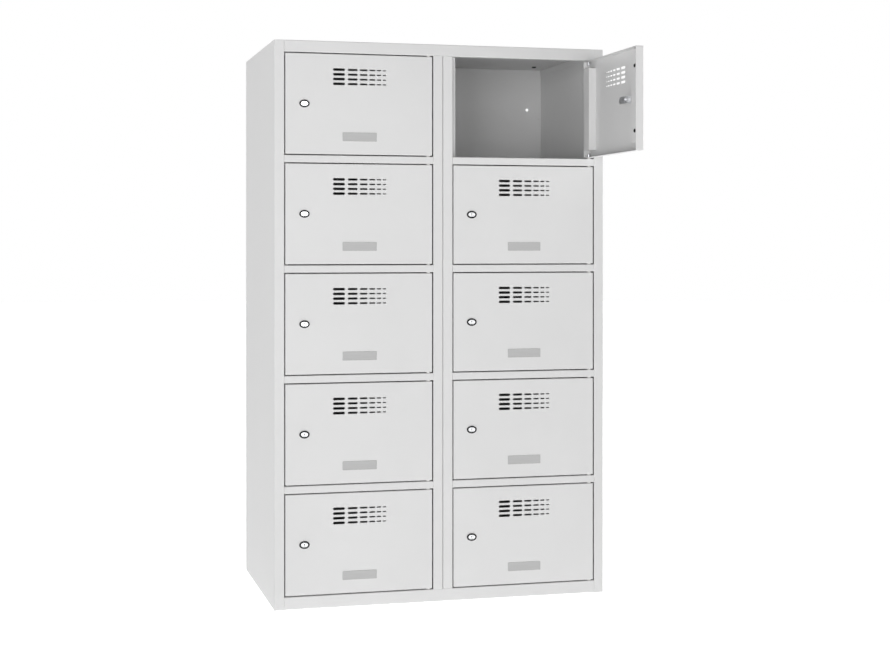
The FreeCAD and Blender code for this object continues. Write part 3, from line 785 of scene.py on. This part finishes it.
class LockerLockPlugs(bpy.types.Operator):
    """Fit each lock's plug with its keyhole, and the cam and screw behind it"""

    bl_idname = "locker.lock_plugs"
    bl_label = "Fit the lock plugs and cams"

    def execute(self, context):
        values, sizes = context.scene.locker_finishes, context.scene.locker_locks
        chrome = bright_metal("chrome_on_plug", values.chrome, 0.18, 0.0003)
        zinc = bright_metal("zinc_on_cam", values.zinc, 0.34, 0.0005)
        # The walls and floor of the keyhole get black plastic as painted shade in the recess.
        keyhole_shade = moulded("painted_shade_in_keyhole", values.black, 0.8, 0.0004, 0.1)
        plug = finish_mesh("lock_plug", self.plug(sizes), [chrome, keyhole_shade])
        plug = self.paint_keyhole_shade(carve(plug, self.key_tools(sizes)), sizes)
        cam = finish_mesh("lock_cam_plate", self.cam(sizes), [zinc])
        screw = carve(finish_mesh("cam_screw", self.screw(sizes), [zinc]), self.cross(sizes))
        work = bmesh.new()
        work.from_mesh(cam)
        work.from_mesh(screw)
        lever = finish_mesh("lock_lever", work, [zinc])
        for door in DOORS:
            stands_for = [f"lock_cam_{door}"]
            for kind, mesh, slot in (("plug", plug, "lock_metal"), ("lever", lever, "zinc_steel")):
                fit(f"lock_{kind}_{door}", mesh, lock_axes(door), f"lock_{door}", stands_for)
        return {"FINISHED"}

    def plug(self, sizes):
        """A turned plug with a chamfered front."""
        work = bmesh.new()
        radius, front = sizes.plug_radius, sizes.plug_front
        steps = ((0.0012, -front), (radius - 0.0006, -front), (radius - 0.0001, -front + 0.0005),
                 (radius, -front + 0.0008), (radius, CAM_FRONT))
        skin(work, [circle(size, depth) for size, depth in steps])
        return work

    def key_tools(self, sizes):
        """The round top and the slit of a keyhole."""
        depths = (-sizes.plug_front - 0.001, -sizes.plug_front + sizes.key_depth)
        top = bmesh.new()
        skin(top, [[point + Vector((0, 0, sizes.key_radius)) for point in
                    circle(sizes.key_radius, depth, KEYHOLE_SIDES)] for depth in depths])
        slit = bmesh.new()
        half = sizes.key_slit / 2
        block(slit, (-half, depths[0], -sizes.key_length), (half, depths[1], sizes.key_radius))
        return [top, slit]

    def paint_keyhole_shade(self, plug, sizes):
        """Give the walls and the floor of the keyhole a black finish, as painted shade in the
        keyhole.
        """
        for face in plug.polygons:
            behind_front = face.center.y > -sizes.plug_front + sizes.key_slit / 2
            near_axis = math.hypot(face.center.x, face.center.z) < 0.8 * sizes.plug_radius
            if behind_front and near_axis and face.center.y < CAM_FRONT - sizes.key_slit / 2:
                face.material_index = 1
        return plug

    def cam(self, sizes):
        """A flat lever with round ends and rounded edges."""
        work = bmesh.new()
        half = sizes.cam_width / 2
        reach = CAM_LENGTH - half
        edge, near = EDGE_ROUND, 0.3 * EDGE_ROUND
        steps = ((edge, CAM_FRONT), (near, CAM_FRONT + near), (0.0, CAM_FRONT + edge),
                 (0.0, CAM_BACK - edge), (near, CAM_BACK - near), (edge, CAM_BACK))
        skin(work, [rounded_end_bar(half - inset, reach, depth) for inset, depth in steps])
        return work

    def screw(self, sizes):
        """A pan head."""
        work = bmesh.new()
        radius, height = sizes.screw_radius, sizes.screw_height
        steps = ((1.0, 0.0), (1.0, 0.42), (0.95, 0.68), (0.82, 0.86), (0.6, 0.97), (0.3, 1.0))
        skin(work, [circle(radius * out, CAM_BACK + height * up, SCREW_SIDES)
                    for out, up in steps])
        return work

    def cross(self, sizes):
        """Two crossed slots."""
        reach = 0.71 * sizes.screw_radius
        half = 0.17 * sizes.screw_radius
        depths = (CAM_BACK + 0.45 * sizes.screw_height, CAM_BACK + 1.5 * sizes.screw_height)
        tools = []
        for wide, high in ((reach, half), (half, reach)):
            tool = bmesh.new()
            block(tool, (-wide, depths[0], -high), (wide, depths[1], high))
            tools.append(tool)
        return tools


class LockerBumpers(bpy.types.Operator):
    """Stick two rubber bumpers on the lip of each door"""

    bl_idname = "locker.bumpers"
    bl_label = "Stick on the bumpers"

    def execute(self, context):
        trim = context.scene.locker_trim
        rubber = moulded("black_rubber", context.scene.locker_finishes.rubber, 0.7, 0.0005, 0.3)
        radius, height = trim.bumper_radius, trim.bumper_height
        steps = ((1.0, 0.0), (0.98, 0.3), (0.9, 0.6), (0.76, 0.83), (0.55, 0.96), (0.25, 1.0))
        work = bmesh.new()
        for rise in (trim.bumper_end, DOOR_HIGH.z - trim.bumper_end):
            foot = Vector((DOOR_LOW.x + trim.bumper_inset, DOOR_HIGH.y, rise))
            skin(work, [
                [foot + point for point in circle(radius * out, height * up, SMALL_SIDES)]
                for out, up in steps
            ])
        mesh = finish_mesh("bumpers", work, [rubber])
        for door in DOORS:
            fit(f"bumpers_{door}", mesh, door_axes(door), f"door_{door}")
        return {"FINISHED"}


class LockerStudio(bpy.types.Operator):
    """Set up the floor, the light and the camera"""

    bl_idname = "locker.studio"
    bl_label = "Set up the studio"

    def execute(self, context):
        values = context.scene.locker_stage
        self.floor(values)
        self.surround(context.scene, values)
        lights = (  # name, place, the point it is aimed at, width and power
            ("key_light", (-2.6, -4.6, 0.8), (0, 0, 0.7), 2.0, values.key_power),
            ("front_light", (0.0, -5.0, 1.1), (0.1, 0, 1.0), 1.6, values.front_power),
            ("rear_light", (-3.6, 2.2, 1.4), (0, 0, 0.8), 2.0, values.rear_power),
            ("fill_light", (3.6, 2.4, 1.6), (0, 0, 0.7), 2.5, values.fill_power),
        )
        for light in lights:
            self.soft_light(*light)
        self.camera(context.scene, values)
        context.scene.view_settings.view_transform = "Standard"
        return {"FINISHED"}

    def floor(self, values):
        """A wide round floor."""
        work = bmesh.new()
        radii, sides = (0.0005, 1.5, 4.0, 9.0, 20.0), 96
        loops = [
            [work.verts.new((point.x, point.z, 0.0)) for point in circle(radius, 0.0, sides)]
            for radius in radii
        ]
        work.faces.new(loops[0])
        for near, far in zip(loops, loops[1:]):
            for step in range(sides):
                after = (step + 1) % sides
                work.faces.new((near[step], far[step], far[after], near[after]))
        mesh = finish_mesh("studio_floor", work, [studio_floor("pale_floor", values)])
        floor = bpy.data.objects.new("studio_floor", mesh)
        bpy.context.scene.collection.objects.link(floor)

    def surround(self, scene, values):
        """Even light from all sides, in front of a white backdrop."""
        scene.world = bpy.data.worlds.new("studio_surround")
        scene.world.use_nodes = True
        tree = scene.world.node_tree
        sky = tree.nodes["Background"]
        sky.inputs["Color"].default_value = (1, 1, 1, 1)
        spread = tree.nodes.new("ShaderNodeLightPath").outputs["Is Diffuse Ray"]
        strength = tree.nodes.new("ShaderNodeMapRange")
        strength.inputs["To Min"].default_value = values.backdrop
        strength.inputs["To Max"].default_value = values.surround
        tree.links.new(spread, strength.inputs["Value"])
        tree.links.new(strength.outputs[0], sky.inputs["Strength"])

    def soft_light(self, name, place, aim, size, watts):
        """A square soft light."""
        lamp = bpy.data.lights.new(name, "AREA")
        lamp.size = size
        lamp.energy = watts
        light = bpy.data.objects.new(name, lamp)
        light.location = place
        light.rotation_euler = (Vector(aim) - Vector(place)).to_track_quat("-Z", "Y").to_euler()
        bpy.context.scene.collection.objects.link(light)

    def camera(self, scene, values):
        """A level camera at the left of the locker's middle."""
        view = bpy.data.cameras.new("camera")
        view.sensor_width = SENSOR_WIDTH
        view.lens = values.lens
        view.shift_x = values.shift_x
        view.shift_y = values.shift_y
        camera = bpy.data.objects.new("camera", view)
        camera.location = values.eye
        camera.rotation_euler = (math.radians(90), 0, values.turn)
        scene.collection.objects.link(camera)
        scene.camera = camera


OPERATORS = (
    LockerCoat, LockerHinges, LockerHolePlugs, LockerLabels, LockerLockBodies, LockerLockPlugs,
    LockerBumpers, LockerStudio,
)


class LockerPanel(bpy.types.Panel):
    """The locker's pieces and values in the sidebar"""

    bl_idname = "VIEW3D_PT_locker"
    bl_label = "Parcel Locker"
    bl_space_type = "VIEW_3D"
    bl_region_type = "UI"
    bl_category = "Locker"

    def draw(self, context):
        for operator in OPERATORS:
            self.layout.operator(operator.bl_idname)
        for name, group in GROUPS.items():
            box = self.layout.box()
            box.label(text=group.__doc__)
            for value in group.__annotations__:
                box.prop(getattr(context.scene, name), value)


CLASSES = (*GROUPS.values(), *OPERATORS, LockerPanel)


def register():
    for made in CLASSES:
        bpy.utils.register_class(made)
    for name, group in GROUPS.items():
        setattr(bpy.types.Scene, name, PointerProperty(type=group))


def unregister():
    for name in GROUPS:
        delattr(bpy.types.Scene, name)
    for made in reversed(CLASSES):
        bpy.utils.unregister_class(made)


def main():
    """Build the whole locker."""
    register()
    bpy.ops.locker.coat()
    bpy.ops.locker.hinges()
    bpy.ops.locker.hole_plugs()
    bpy.ops.locker.labels()
    bpy.ops.locker.lock_bodies()
    bpy.ops.locker.lock_plugs()
    bpy.ops.locker.bumpers()
    bpy.ops.locker.studio()


if __name__ == "__main__":
    main()
